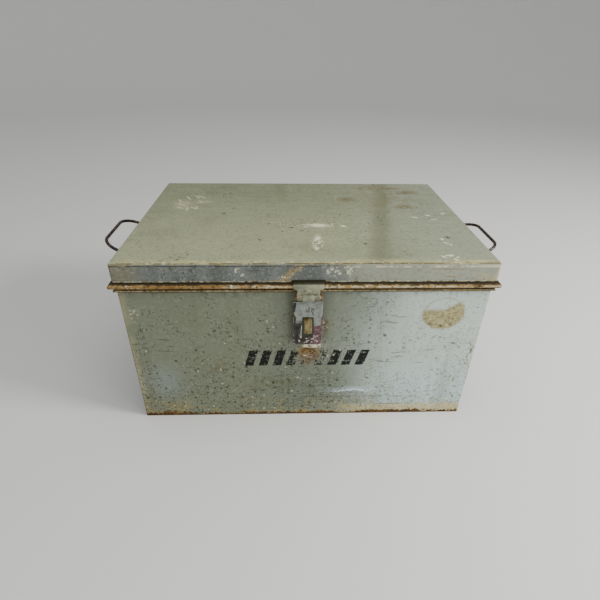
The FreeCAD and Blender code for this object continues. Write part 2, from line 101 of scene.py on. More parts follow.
class Kit:
    """One material's nodes. Its noises share a few vectors, because a shader holds few of them at once."""
    def __init__(self, name):
        self.material = bpy.data.materials.new(name)
        self.material.use_nodes = True
        self.tree = self.material.node_tree
        self.tree.nodes.clear()
        here = self.tree.nodes.new("ShaderNodeTexCoord")
        self.place = here.outputs["Object"]
        self.facing = here.outputs["Normal"]
        self.x, self.y, self.z = self.parts(self.place)
        self.nx, self.ny, self.nz = self.parts(self.facing)
        self.base = self.vector("ADD", self.place, (5, 3, 7))
        self.stretched = {(1, 1, 1): self.base}
        self.set_out_faces()

    def node(self, kind, output=0, inputs=None, **settings):
        made = self.tree.nodes.new(kind)
        for key, value in settings.items():
            setattr(made, key, value)
        for key, value in (inputs or {}).items():
            socket = made.inputs[key]
            if isinstance(value, Field):
                self.tree.links.new(value.socket, socket)
            elif isinstance(value, bpy.types.NodeSocket):
                self.tree.links.new(value, socket)
            else:
                socket.default_value = value
        return Field(self, made.outputs[output])

    def parts(self, vector):
        split = self.tree.nodes.new("ShaderNodeSeparateXYZ")
        self.tree.links.new(vector, split.inputs[0])
        return [Field(self, out) for out in split.outputs]

    def set_out_faces(self):
        """Where a point is on its own flat face, across and up it, with the faces' places set apart."""
        sideways = self.size(self.nx).between(0.65, 0.75)
        level = self.size(self.nz).between(0.65, 0.75)
        behind = self.ny.between(0.65, 0.75)
        across = self.x * (1 - sideways) + (self.y + 3) * sideways + behind * 5 + FRONT_FACE[0]
        up = self.z * (1 - level) + (self.y + TOP_FACE[1] - FRONT_FACE[1]) * level + FRONT_FACE[1]
        smooth = self.node("ShaderNodeCombineXYZ", 0, {0: across, 1: up})
        push = self.node("ShaderNodeTexNoise", "Color", {"Vector": self.base, "Scale": 170, "Detail": 2.0})
        self.face = self.vector("MULTIPLY_ADD", push, (FACE_PUSH, FACE_PUSH, 0), smooth)
        self.across, self.up, _ = self.parts(self.face.socket)

    def math(self, operation, *values):
        return self.node("ShaderNodeMath", inputs=dict(enumerate(values)), operation=operation)

    def vector(self, operation, *values, output=0):
        return self.node("ShaderNodeVectorMath", output, dict(enumerate(values)), operation=operation)

    def least(self, a, b):
        return self.math("MINIMUM", a, b)

    def most(self, *values):
        result = values[0]
        for value in values[1:]:
            result = self.math("MAXIMUM", result, value)
        return result

    def size(self, a):
        return self.math("ABSOLUTE", a)

    def between(self, value, low, high):
        inputs = {"Value": value, "From Min": low, "From Max": high}
        return self.node("ShaderNodeMapRange", 0, inputs, interpolation_type="SMOOTHSTEP")

    def band(self, value, low, high, soft):
        """1 between low and high, fading over soft on each side."""
        return value.between(low - soft, low + soft) * value.between(high + soft, high - soft)

    def mix(self, a, b, amount, blend="MIX"):
        inputs = {0: amount, 6: a, 7: b}    # 6 and 7 are the colour sockets
        return self.node("ShaderNodeMix", 2, inputs, data_type="RGBA", blend_type=blend)

    def grain(self, scale, detail=4.0, rough=0.55, stretch=(1, 1, 1), shift=0.0):
        """Cloudy noise from 0 to 1, scale in features per metre. Another shift gives other clouds."""
        if stretch not in self.stretched:
            self.stretched[stretch] = self.vector("MULTIPLY", self.base, stretch)
        inputs = {"Vector": self.stretched[stretch], "Scale": scale * (1 + 0.013 * shift),
                  "Detail": detail, "Roughness": rough}
        return self.node("ShaderNodeTexNoise", "Fac", inputs)

    def ragged(self, shift=0.0):
        """Noise with the torn outlines of flaking paint."""
        return self.grain(150, 5, 0.72, shift=shift)

    def warped(self, scale, amount):
        """The place, pushed about by noise, to break up drawn edges."""
        push = self.node("ShaderNodeTexNoise", "Color", {"Vector": self.base, "Scale": scale, "Detail": 3.0})
        centred = self.vector("SUBTRACT", push, (0.5, 0.5, 0.5))
        return self.vector("MULTIPLY_ADD", centred, (amount, amount, amount), self.place)

    def reach(self, where, centre, size):
        """Distance from a centre, in half axes of an ellipsoid."""
        offset = self.vector("SUBTRACT", where, centre)
        return self.vector("LENGTH", self.vector("DIVIDE", offset, size), output="Value")

    def spot(self, where, centre, size, soft=0.3):
        """1 inside an ellipsoid of half axes size, fading out over soft of them."""
        return self.reach(where, centre, size).between(1.0 + soft, 1.0 - soft)

    def spots(self, where, marks, soft=0.3):
        return self.most(*[self.spot(where, centre, size, soft) for centre, size in marks])

    def scattered(self, scale, output):
        """An output of points scattered over each face, and three chances that belong to the nearest."""
        inputs = {"Vector": self.face, "Scale": scale}
        found = self.node("ShaderNodeTexVoronoi", output, inputs, voronoi_dimensions="2D")
        return found, self.parts(found.socket.node.outputs["Color"])

    def pits(self, scale, radius, keep):
        """Ragged dots up to radius wide. A larger keep, from 0 to 1, leaves fewer."""
        reach, (chance, grown, _) = self.scattered(scale, "Distance")
        reach = reach * (1 / (radius * scale)) + (self.grain(1.1 / radius, 2, 0.6) - 0.5) * 1.4 - grown * 0.5
        return reach.between(0.75, 0.4) * chance.between(keep, keep + 0.04)

    def strokes(self, scale, length, width, keep, slant=0.0, spread=ANY_ANGLE, bend=12.0):
        """Short nearly straight scratches at angles of slant give or take half of spread."""
        point, (chance, turn, curl) = self.scattered(scale, "Position")
        point_across, point_up, _ = self.parts(point.socket)
        across = self.across - point_across
        up = self.up - point_up
        angle = turn * spread + (slant - spread / 2)
        cosine = self.math("COSINE", angle)
        sine = self.math("SINE", angle)
        along = across * cosine + up * sine
        off = across * sine - up * cosine + along * along * (curl - 0.5) * bend
        line = self.size(off).between(width, width * 0.4) * self.size(along).between(length, length * 0.5)
        return line * chance.between(keep, keep + 0.04)

    def scratch(self, corner, start, end, width):
        """1 on a thin straight scratch between two places, with corner the face's own (0, 0)."""
        run, rise = end[0] - start[0], end[1] - start[1]
        length = math.hypot(run, rise)
        across = corner[0] + start[0] + run / 2 + FACE_PUSH / 2
        up = corner[1] + start[1] + rise / 2 + FACE_PUSH / 2
        offset = self.vector("SUBTRACT", self.face, (across, up, 0))
        lengthwise = (2 * run / length ** 2, 2 * rise / length ** 2, 0)
        crosswise = (-rise / length / width, run / length / width, 0)
        along = self.vector("DOT_PRODUCT", offset, lengthwise, output="Value")
        off = self.vector("DOT_PRODUCT", offset, crosswise, output="Value")
        return (along * along + off * off).between(1.0, 0.3)

    def scratches(self, corner, lines, width):
        return self.most(*[self.scratch(corner, start, end, width) for start, end in lines])

    def outside(self):
        """1 on faces that look away from the middle of the trunk, 0 on its inner faces."""
        out = self.vector("SUBTRACT", self.place, MIDDLE)
        return self.vector("DOT_PRODUCT", out, self.facing, output="Value").between(-0.002, 0.002)

    def finish(self, color, roughness, height, metallic=0.0, strength=0.5, distance=0.001, specular=0.5):
        """The surface shader, with height in the unit of distance as its bump."""
        bump = self.node("ShaderNodeBump", 0, {"Height": height, "Strength": strength, "Distance": distance})
        inputs = {"Base Color": color, "Roughness": roughness, "Metallic": metallic, "Normal": bump,
                  "Specular IOR Level": specular}
        surface = self.node("ShaderNodeBsdfPrincipled", 0, inputs)
        output = self.tree.nodes.new("ShaderNodeOutputMaterial")
        self.tree.links.new(surface.socket, output.inputs["Surface"])
        return self.material


RUST_DARK = srgb(46, 30, 18)
RUST_BROWN = srgb(90, 60, 32)
RUST_OCHRE = srgb(138, 104, 54)
CREAM = srgb(226, 222, 190)
OCHRE_DUST = srgb(158, 142, 92)
GRIME_AND_SHADE = srgb(44, 42, 26)
FAR = 1.0                            # a half axis that leaves one direction of a mark open


def strewn_lines(seed, centre, spread, length, slant, count, turn=0.5):
    """Scratches scattered round a place on a face, at about one slant, which is in radians from level."""
    draw = random.Random(seed)
    lines = []
    for _ in range(count):
        start = [middle + half * draw.uniform(-1, 1) for middle, half in zip(centre, spread)]
        angle = slant + draw.uniform(-turn, turn)
        run = length * draw.uniform(0.5, 1.2)
        lines.append((start, (start[0] + run * math.cos(angle), start[1] + run * math.sin(angle))))
    return lines


def strewn_dots(seed, centre, spread, radii, count):
    """Small round marks scattered round a place, as pairs of a centre and its radii."""
    draw = random.Random(seed)
    marks = []
    for _ in range(count):
        place = [middle + half * draw.uniform(-1, 1) for middle, half in zip(centre, spread)]
        marks.append((tuple(place), radii))
    return marks


def rust_color(kit):
    fine = kit.grain(420, 5, 0.7, shift=3.1)
    broad = kit.grain(60, 4, 0.6, shift=7.7)
    color = kit.mix(RUST_DARK, RUST_BROWN, fine.between(0.36, 0.56))
    return kit.mix(color, RUST_OCHRE, broad.between(0.42, 0.66) * fine.between(0.35, 0.65))


def weathered(kit, paint, rust, pale, dark):
    """Paint with pale scuffs and painted highlights, rust coming through, and dark marks and painted shade,
    for every painted panel.
    """
    color = kit.mix(paint, CREAM, pale)
    color = kit.mix(color, OCHRE_DUST, rust.between(0.02, 0.40) * 0.6)
    color = kit.mix(color, rust_color(kit), rust.between(0.3, 0.75))
    color = kit.mix(color, GRIME_AND_SHADE, dark)
    roughness = kit.grain(35, 4, 0.6, shift=4.4) * 0.22 + 0.36 + rust * 0.35 + pale * 0.1
    height = kit.grain(900, 2, 0.5) * 0.12 + kit.grain(160, 4, 0.7, shift=1.0) * 0.3
    return kit.finish(color, roughness, height, strength=0.5, distance=0.0006, specular=0.22)


def wear(kit, more):
    """Small damage of use as (dark, pale). more, about -0.5 to 0.5 over the surface, adds to it."""
    crowd = (kit.grain(14, 4, 0.65) - 0.5) * 2.0 + more
    dark = kit.most(kit.pits(230, 0.0015, 0.72 - crowd) * 0.55,
                    kit.pits(80, 0.0026, 0.80 - crowd) * 0.7,
                    kit.strokes(27, 0.015, 0.0008, 0.74 - crowd * 0.8, spread=0.5) * 0.5,
                    kit.strokes(63, 0.0065, 0.0010, 0.70 - crowd) * 0.6,
                    kit.strokes(41, 0.010, 0.0008, 0.76 - crowd * 0.9, slant=1.5, spread=1.8) * 0.5)
    pale = kit.most(kit.pits(95, 0.0018, 0.94 - crowd * 0.3) * 0.5,
                    kit.strokes(25, 0.014, 0.0006, 0.84 - crowd * 0.3) * 0.28)
    return dark, pale


def mottled(kit, paint, light, deep):
    """Uneven paint: soft clouds and a fine speckle between a lighter and a deeper tone."""
    clouds = kit.grain(9, 4, 0.6, shift=0.4)
    speckle = kit.grain(190, 5, 0.75, shift=8.0)
    paint = kit.mix(paint, deep, clouds.between(0.5, 0.75) * 0.3)
    paint = kit.mix(paint, deep, speckle.between(0.52, 0.68) * 0.5)
    return kit.mix(paint, light, speckle.between(0.48, 0.34) * 0.5)


# Scribbles, scrapes, scores and dark dots on the top of the lid, scattered round a few places.
SCRIBBLES = strewn_lines(3, (-0.24, 0.09), (0.035, 0.045), 0.03, -1.0, 10)
SCRAPES = (strewn_lines(5, (0.23, -0.15), (0.015, 0.05), 0.012, -0.7, 8)
           + strewn_lines(6, (0.25, -0.02), (0.04, 0.05), 0.015, -0.5, 3))
LID_SCORES = strewn_lines(7, (0.22, -0.11), (0.04, 0.04), 0.022, 0.4, 4)
LID_DOTS = strewn_dots(8, (0.0, -0.05, LID_TOP), (0.25, 0.10, 0.0), (0.003, 0.0035, FAR), 5)


def lid_top_paint(kit, place):
    """The top of the lid with its stains, as (paint, rust, pale, dark)."""
    # The paint is lighter towards the front: painted light, for the light that falls more on the front of the
    # lid.
    paint = kit.mix(srgb(118, 123, 94), srgb(150, 154, 121), kit.y.between(0.22, -0.20))
    paint = kit.mix(paint, srgb(140, 147, 130), kit.x.between(0.0, 0.28) * 0.6)
    brushed = kit.grain(110, 3, 0.6, (0.12, 1, 1.4), 2.4).between(0.45, 0.75)
    paint = kit.mix(paint, srgb(162, 164, 138), brushed * 0.3)
    paint = mottled(kit, paint, srgb(168, 170, 146), srgb(88, 88, 62))
    # Darker along the dent's long valley, as painted shade, and in a band beside the middle.
    valley = kit.size(kit.x - kit.y * 0.19 - 0.152).between(0.028, 0.004) * 0.45
    beside = kit.size(kit.x + kit.y * 0.05 + 0.035).between(0.020, 0.004) * kit.y.between(0.02, 0.16) * 0.3
    paint = kit.mix(paint, srgb(94, 95, 66), kit.most(valley, beside))
    dirty = kit.spot(place, (0.190, 0.115, LID_TOP), (0.065, 0.070, FAR), 0.8)
    clotted = kit.grain(60, 5, 0.7, shift=6.2).between(0.42, 0.62)
    paint = kit.mix(paint, srgb(108, 98, 62), dirty * clotted * 0.6)
    tan = kit.spots(place, [((-0.240, 0.060, LID_TOP), (0.018, 0.020, FAR)),
                            ((-0.202, 0.078, LID_TOP), (0.016, 0.008, FAR))], 0.7)
    paint = kit.mix(paint, srgb(180, 172, 136), tan * kit.ragged(3.5).between(0.32, 0.55) * 0.6)
    from_edge = kit.y + LID_Y
    strip = from_edge.between(0.022, 0.004) * kit.grain(70, 5, 0.7, (0.4, 1, 1), 6.6).between(0.42, 0.54)
    paint = kit.mix(paint, srgb(184, 174, 122), strip * 0.75)

    smears = kit.spots(place, [((0.098, 0.096, LID_TOP), (0.017, 0.012, FAR)),
                               ((0.238, 0.140, LID_TOP), (0.020, 0.011, FAR)),
                               ((0.205, 0.172, LID_TOP), (0.022, 0.007, FAR)),
                               ((0.209, 0.053, LID_TOP), (0.015, 0.011, FAR))], 0.8)
    ring = kit.band(kit.reach(place, (0.150, 0.172, LID_TOP), (0.019, 0.014, FAR)), 0.62, 1.0, 0.25)
    stained = kit.most(smears, ring) * kit.ragged(5.5).between(0.34, 0.54)
    paint = kit.mix(paint, srgb(100, 80, 48), stained * 0.75)
    edge_line = from_edge.between(0.0046, 0.0030)
    edge_line = edge_line * kit.grain(60, 5, 0.75, (0.5, 1, 1), 2.6).between(0.42, 0.52)
    right_band = from_edge.between(0.011, 0.005) * kit.x.between(0.13, 0.17)
    right_band = right_band * kit.ragged(4.6).between(0.50, 0.62)
    rust = kit.most(edge_line * 0.5, right_band * 0.55)

    chipped = kit.spots(place, [((0.026, -0.050, LID_TOP), (0.014, 0.007, FAR)),
                                ((0.021, -0.108, LID_TOP), (0.005, 0.009, FAR)),
                                ((0.018, -0.150, LID_TOP), (0.005, 0.005, FAR)),
                                ((0.074, -0.055, LID_TOP), (0.005, 0.003, FAR)),
                                ((0.250, -0.020, LID_TOP), (0.005, 0.003, FAR))], 0.6)
    flecks = kit.pits(190, 0.0026, 0.35)
    around = kit.spots(place, [((0.026, -0.050, LID_TOP), (0.032, 0.010, FAR)),
                               ((0.021, -0.125, LID_TOP), (0.009, 0.028, FAR))], 0.5)
    front_flakes = from_edge.between(0.020, 0.003) * kit.ragged(7.6).between(0.53, 0.62)
    pale = kit.most(kit.scratches(TOP_FACE, SCRIBBLES, 0.0024) * 0.45,
                    chipped * kit.ragged(2.9).between(0.34, 0.50),
                    kit.scratches(TOP_FACE, SCRAPES, 0.0026) * 0.9,
                    around * flecks * 0.8, front_flakes * 0.7)
    dark = kit.most(kit.spots(place, LID_DOTS, 0.5) * 0.8, kit.scratches(TOP_FACE, LID_SCORES, 0.0014) * 0.5,
                    edge_line * 0.6)
    return paint, rust, pale, dark


def skirt_paint(kit, place, front):
    """The lid's turned-down sides: the front one greyish blue with painted sheen in lighter streaks and to
    the right, with flaking trails.
    """
    # Lighter streaks and a lighter right part on the front skirt are painted sheen.
    sheen_streaks = kit.grain(24, 4, 0.6, (1, 1, 0.25), 2.0).between(0.38, 0.62)
    blue = kit.mix(srgb(90, 95, 90), srgb(112, 116, 112), sheen_streaks)
    blue = kit.mix(blue, srgb(120, 118, 98), kit.x.between(-0.24, -0.29))
    blue = kit.mix(blue, srgb(150, 152, 134), kit.x.between(0.03, 0.10))
    clouds = kit.grain(12, 3, 0.6, shift=2.5).between(0.4, 0.6)
    plain = kit.mix(srgb(118, 121, 104), srgb(134, 136, 116), clouds)
    paint = mottled(kit, kit.mix(plain, blue, front), srgb(158, 158, 142), srgb(78, 78, 64))
    dusty = kit.x.between(0.26, 0.29) * kit.grain(60, 3, 0.6, shift=1.5).between(0.4, 0.55) * front
    paint = kit.mix(paint, srgb(178, 166, 122), dusty * 0.6)

    rough_x, _, rough_z = kit.parts(kit.warped(90, 0.016).socket)
    trail = kit.size(rough_x + 0.0165 - (rough_z - 0.320) * 0.9).between(0.012, 0.003) * front
    foot = kit.spot(place, (-0.044, -LID_Y, SKIRT_EDGE), (0.018, FAR, 0.007), 0.8) * front
    run_down = kit.most(trail, foot)
    paint = kit.mix(paint, srgb(150, 132, 92), run_down * kit.ragged(1.2).between(0.40, 0.52) * 0.7)
    rust = run_down * kit.ragged(3.3).between(0.52, 0.64) * 0.7
    level_lines = [((0.181, 0.317), (0.264, 0.316)), ((0.212, 0.304), (0.246, 0.302))]
    thin = kit.scratches(FRONT_FACE, level_lines, 0.0011)
    rust = kit.most(rust, thin * front * 0.5)
    speckled = kit.spots(place, [((-0.111, -LID_Y, 0.309), (0.007, FAR, 0.016)),
                                 ((-0.098, -LID_Y, 0.310), (0.004, FAR, 0.004)),
                                 ((0.050, -LID_Y, 0.315), (0.022, FAR, 0.008))], 0.5) * front
    upright_lines = [((0.065, 0.313), (0.068, 0.301)), ((0.050, 0.316), (0.048, 0.308))]
    fine = kit.scratches(FRONT_FACE, upright_lines, 0.0010)
    pale = kit.most(speckled * kit.pits(260, 0.0022, 0.62) * 0.65,
                    trail * kit.ragged(1.7).between(0.54, 0.62) * 0.9,
                    fine * front * 0.4)
    return paint, rust, pale


def lid_material():
    kit = Kit("lid_paint_worn")
    place = kit.warped(32, 0.018)
    top = kit.nz.between(0.6, 0.9)
    side = 1 - top
    front = kit.ny.between(-0.6, -0.9)
    outside = kit.outside()
    hem = kit.z - SKIRT_EDGE
    edge = kit.most(kit.least(LID_X - kit.size(kit.x), LID_Y - kit.size(kit.y)), LID_TOP - kit.z)

    paint, rust, pale, dark = lid_top_paint(kit, place)
    side_paint, side_rust, side_pale = skirt_paint(kit, place, front)
    paint = kit.mix(paint, side_paint, side)
    inside_paint = mottled(kit, srgb(116, 119, 98), srgb(140, 142, 120), srgb(84, 80, 58))
    paint = kit.mix(inside_paint, paint, outside)

    edge_rust = (kit.ragged(1.9) + edge.between(0.005, 0.0) * 0.22).between(0.66, 0.84)
    edge_rust = edge_rust * edge.between(0.005, 0.002)
    hem_rust = (kit.ragged(2.2) + hem.between(0.006, 0.0) * 0.26).between(0.62, 0.76)
    hem_rust = hem_rust * hem.between(0.007, 0.003)
    rust = kit.most(rust * top, side_rust * side, edge_rust * 0.6, hem_rust * 0.7) * outside
    right = kit.x.between(0.02, 0.06)
    under_edge = kit.band(kit.z, LID_TOP - 0.0044, LID_TOP - 0.0028, 0.0006) * front
    broken = kit.grain(40, 4, 0.75, (1, 1, 0.4), 3.9)
    dark_edge = under_edge * (1 - right) * broken.between(0.42, 0.54)
    # A painted highlight along the top of the front skirt on the right, just below the edge.
    edge_highlight = kit.band(kit.z, LID_TOP - 0.0062, LID_TOP - 0.0034, 0.0008) * front * right
    edge_highlight = edge_highlight * broken.between(0.56, 0.42)
    hem_cream = kit.band(hem, 0.0016, 0.0032, 0.0006) * side * kit.ragged(8.8).between(0.46, 0.56)
    # Painted shade in the notch over the hasp's strap, near the skirt's lower edge.
    notch_shade = kit.size(kit.x - HASP_X).between(0.0275, 0.0262) * hem.between(0.0062, 0.0050) * front
    small_dark, small_pale = wear(kit, -0.26)
    # The lowest part of the skirt painted dark as painted shade in the gap above the rim's bead.
    hem_gap_shade = hem.between(0.0018, 0.0010) * 0.95
    dark = kit.most(dark * top, small_dark, hem_gap_shade, dark_edge * 0.85, notch_shade * 0.97) * outside
    pale = kit.most(pale * top, side_pale * side, small_pale, hem_cream * 0.6, edge_highlight * 0.6) * outside
    return weathered(kit, paint, rust, pale, dark)


# Scores, brown traces and dark dots on the front.
FRONT_SCORES = (strewn_lines(9, (-0.26, 0.17), (0.04, 0.05), 0.035, 0.0, 4, 0.1)
                + strewn_lines(10, (-0.12, 0.07), (0.09, 0.04), 0.05, -0.1, 4)
                + strewn_lines(11, (0.29, 0.15), (0.004, 0.02), 0.010, 0.0, 3, 0.1))
FRONT_TRACES = (strewn_lines(12, (0.14, 0.22), (0.015, 0.02), 0.028, 0.0, 4, 0.3)
                + strewn_lines(13, (0.17, 0.14), (0.05, 0.02), 0.035, 0.0, 6, 0.2)
                + strewn_lines(14, (0.28, 0.05), (0.008, 0.008), 0.016, -1.0, 3)
                + strewn_lines(15, (0.13, 0.024), (0.0, 0.0), 0.15, 0.0, 1, 0.0))
FRONT_DOTS = strewn_dots(16, (0.03, -HALF_Y, 0.14), (0.22, 0.0, 0.08), (0.003, FAR, 0.0026), 6)


def front_paint(kit, place):
    """The front panel's paint, darker to the left and bluish white to the right and low on the right as a
    painted reflection, with its stains.
    """
    sheen_across = kit.x + (kit.grain(5, 3, 0.55, shift=1.4) - 0.5) * 0.08
    paint = kit.mix(srgb(117, 122, 102), srgb(119, 125, 109), sheen_across.between(-0.06, 0.06))
    # Bluish white to the right and low on the right: a painted reflection.
    paint = kit.mix(paint, srgb(189, 200, 190), sheen_across.between(0.035, 0.215))
    low_sheen = kit.z.between(0.14, 0.08) * kit.x.between(0.08, 0.18)
    paint = kit.mix(paint, srgb(180, 204, 202), low_sheen * 0.5)
    shade = kit.spot(place, (-0.010, -HALF_Y, 0.085), (0.075, FAR, 0.055), 0.7)
    paint = kit.mix(paint, srgb(92, 102, 88), shade * 0.45)
    left_blue = kit.spot(place, (-0.255, -HALF_Y, 0.085), (0.030, FAR, 0.035), 0.8)
    paint = kit.mix(paint, srgb(136, 146, 142), left_blue * 0.5)
    left_edge = kit.x.between(-0.284, -0.300) * kit.grain(40, 4, 0.6, shift=4.2).between(0.3, 0.6)
    paint = kit.mix(paint, srgb(156, 150, 114), left_edge * 0.8)
    olive = kit.spots(place, [((-0.152, -HALF_Y, 0.123), (0.030, FAR, 0.016)),
                              ((-0.070, -HALF_Y, 0.080), (0.060, FAR, 0.018))], 0.8)
    blotches = kit.grain(80, 5, 0.7, shift=2.8).between(0.46, 0.6)
    paint = kit.mix(paint, srgb(96, 90, 56), olive * blotches * 0.6)
    low = kit.z.between(0.055, 0.006) * kit.grain(45, 5, 0.7, (0.6, 1, 1), 5.7).between(0.46, 0.60)
    paint = kit.mix(paint, srgb(152, 138, 88), low * 0.65)
    right_low = (kit.z - kit.grain(30, 4, 0.7, shift=5.2) * 0.02).between(0.017, 0.009)
    right_low = right_low * kit.x.between(0.04, 0.12)
    paint = kit.mix(paint, srgb(204, 186, 132), right_low * kit.ragged(6.1).between(0.28, 0.48) * 0.75)

    reach = kit.reach(kit.warped(60, 0.005), (0.2305, -HALF_Y, 0.2300), (0.0375, FAR, 0.0325))
    slope = kit.most(kit.x - 0.231, kit.x * 0)
    level = kit.z - slope * 0.62 - 0.2370
    mottle = kit.grain(160, 5, 0.75, shift=9.0)
    fill = reach.between(1.02, 0.90) * level.between(0.007, -0.004)
    ring = kit.band(reach, 0.90, 0.98, 0.07) * 0.55
    tone = kit.mix(srgb(172, 158, 106), srgb(124, 112, 64), mottle.between(0.44, 0.60))
    paint = kit.mix(paint, tone, kit.most(fill * 0.9, ring))
    glow = kit.spot(place, (0.095, -HALF_Y, 0.062), (0.044, FAR, 0.006), 0.9) * 0.22
    glint = kit.spot(place, (0.094, -HALF_Y, 0.0583), (0.034, FAR, 0.0024), 0.8) * 0.8
    paint = kit.mix(paint, srgb(222, 234, 250), kit.most(glow, glint))
    light = kit.mix(paint, srgb(216, 220, 206), 0.22)
    deep = kit.mix(paint, srgb(76, 72, 46), 0.34)
    return mottled(kit, paint, light, deep)


def under_hasp(kit, place):
    """The spot that the swinging tongue has worn through, with painted shade behind and beside the tongue, as
    (paint, rust, pale, dark).
    """
    mark = kit.spot(place, (HASP_X + 0.004, -HALF_Y, 0.148), (0.022, FAR, 0.022), 0.4)
    beside = kit.spot(place, (HASP_X + 0.028, -HALF_Y, 0.208), (0.0055, FAR, 0.014), 0.5)
    arcs = kit.grain(90, 5, 0.7, (0.35, 1, 1.6), 6.9)
    tone = kit.mix(srgb(138, 100, 74), srgb(80, 66, 42), kit.ragged(4.9).between(0.40, 0.54))
    upper = kit.band(kit.z, 0.146, 0.162, 0.003) * mark
    rust = upper * arcs.between(0.42, 0.54) * 0.7
    cream_band = kit.band(kit.z, 0.161, 0.170, 0.0016) * kit.band(kit.x, -0.004, 0.026, 0.003)
    pale = kit.most(mark * arcs.between(0.58, 0.66) * 0.6,
                    cream_band * kit.ragged(3.9).between(0.34, 0.48) * 0.9,
                    beside * kit.ragged(8.1).between(0.54, 0.62) * 0.6)
    # Painted shade behind and beside the hasp's tongue.
    shade = kit.size(kit.x - HASP_X).between(0.048, 0.022) * kit.z.between(0.168, 0.186)
    return tone, kit.most(mark, beside * 0.8), rust, pale, shade * 0.36


def wall_material():
    kit = Kit("body_paint_worn")
    place = kit.warped(32, 0.018)
    front = kit.ny.between(-0.6, -0.9) * kit.y.between(-0.1, -0.15)
    outside = kit.outside()
    corner = kit.most(HALF_X - kit.size(kit.x), HALF_Y - kit.size(kit.y))
    upright = kit.size(kit.nz).between(0.7, 0.3)
    foot = kit.z - WALL_LOW.z
    right = kit.x.between(0.0, 0.2) * front

    clouds = kit.grain(6, 4, 0.6, shift=3.4).between(0.4, 0.6)
    plain = kit.mix(srgb(116, 120, 100), srgb(136, 140, 122), clouds)
    plain = mottled(kit, plain, srgb(152, 154, 136), srgb(88, 86, 64))
    paint = kit.mix(plain, front_paint(kit, place), front)
    runs = kit.grain(30, 4, 0.6, (1, 1, 0.08), 3.7)
    paint = kit.mix(paint, srgb(96, 94, 64), runs.between(0.52, 0.72) * 0.22)
    worn, worn_amount, hasp_rust, hasp_pale, hasp_shade = under_hasp(kit, place)
    paint = kit.mix(paint, worn, worn_amount * front * 0.85)
    inside_paint = mottled(kit, srgb(106, 110, 90), srgb(128, 130, 110), srgb(80, 74, 52))
    paint = kit.mix(inside_paint, paint, outside)

    clumps = kit.grain(22, 4, 0.65, shift=5.1)
    foot_rust = (kit.ragged(1.9) * 0.8 + foot.between(0.014, 0.0) * 0.26 + clumps * 0.6).between(0.76, 0.92)
    foot_rust = foot_rust * foot.between(0.020, 0.003) * upright
    left_rust = kit.spot(place, (-0.250, -HALF_Y, 0.005), (0.026, FAR, 0.009), 0.6)
    left_rust = left_rust * kit.ragged(6.3).between(0.40, 0.54)
    corner_rust = (kit.ragged(2.4) + corner.between(0.006, 0.0) * 0.2).between(0.62, 0.80)
    corner_rust = corner_rust * corner.between(0.008, 0.003)
    # A brown line painted along the crease: painted shade in it.
    crease = kit.size(kit.z - 0.0450 + kit.x * 0.0140).between(0.0013, 0.0005)
    crease = crease * kit.band(kit.x, -0.008, 0.217, 0.006)
    crease = crease * kit.grain(50, 4, 0.7, (1, 1, 0.2), 8.1).between(0.34, 0.46)
    trails = kit.spots(place, [((0.117, -HALF_Y, 0.100), (0.007, FAR, 0.030)),
                               ((0.151, -HALF_Y, 0.060), (0.004, FAR, 0.016)),
                               ((0.118, -HALF_Y, 0.036), (0.016, FAR, 0.010)),
                               ((0.270, -HALF_Y, 0.088), (0.014, FAR, 0.010)),
                               ((0.259, -HALF_Y, 0.165), (0.008, FAR, 0.005)),
                               ((0.290, -HALF_Y, 0.150), (0.006, FAR, 0.040)),
                               ((-0.272, -HALF_Y, 0.104), (0.014, FAR, 0.003))], 0.6)
    trails = trails * kit.ragged(7.1).between(0.50, 0.60)
    traces_and_crease_shade = kit.most(kit.scratches(FRONT_FACE, FRONT_TRACES, 0.0012), crease) * front
    paint = kit.mix(paint, srgb(84, 72, 42), traces_and_crease_shade * 0.6)
    front_rust = kit.most(left_rust, trails * 0.6, hasp_rust) * front
    rust = kit.most(foot_rust, corner_rust * 0.7, front_rust)
    seam_rust = foot.between(0.0034, 0.0012) * kit.ragged(3.0).between(0.30, 0.46) * upright
    rust = kit.most(rust, seam_rust) * outside

    low = kit.z.between(0.16, 0.03) * 0.30 - kit.z.between(0.18, 0.26) * 0.10 + right * 0.08
    small_dark, small_pale = wear(kit, low - 0.08)
    speckled = kit.spot(place, (-0.284, -HALF_Y, 0.235), (0.008, FAR, 0.014), 0.5)
    speckled = speckled * kit.ragged(5.2).between(0.54, 0.62)
    pale = kit.most(small_pale, kit.most(hasp_pale, speckled * 0.6) * front) * outside
    under_rim = RIM_LOW.z - kit.z
    rim_shade = under_rim.between(0.0030, 0.0018) * 0.8
    # Painted shade under the rim, broken into streaks by noise.
    rim_shade_streaks = under_rim.between(0.016, 0.002) * 0.4
    rim_shade_streaks = rim_shade_streaks * kit.grain(90, 4, 0.7, (1, 1, 0.4), 3.9).between(0.52, 0.66)
    foot_line = foot.between(0.0018, 0.0009) * upright * 0.8
    scores = kit.scratches(FRONT_FACE, FRONT_SCORES, 0.0013) * 0.5
    scores = kit.most(scores, kit.spots(place, FRONT_DOTS, 0.5) * 0.75)
    front_dark = kit.most(scores, hasp_shade) * front
    dark = kit.most(small_dark * (1 - right * 0.35), front_dark, rim_shade, rim_shade_streaks)
    dark = kit.most(dark, foot_line) * outside
    bars = stencil_bars(kit) * front
    paint = kit.mix(paint, srgb(6, 6, 4), bars)
    return weathered(kit, paint, rust * (1 - bars * 0.6), pale, dark)


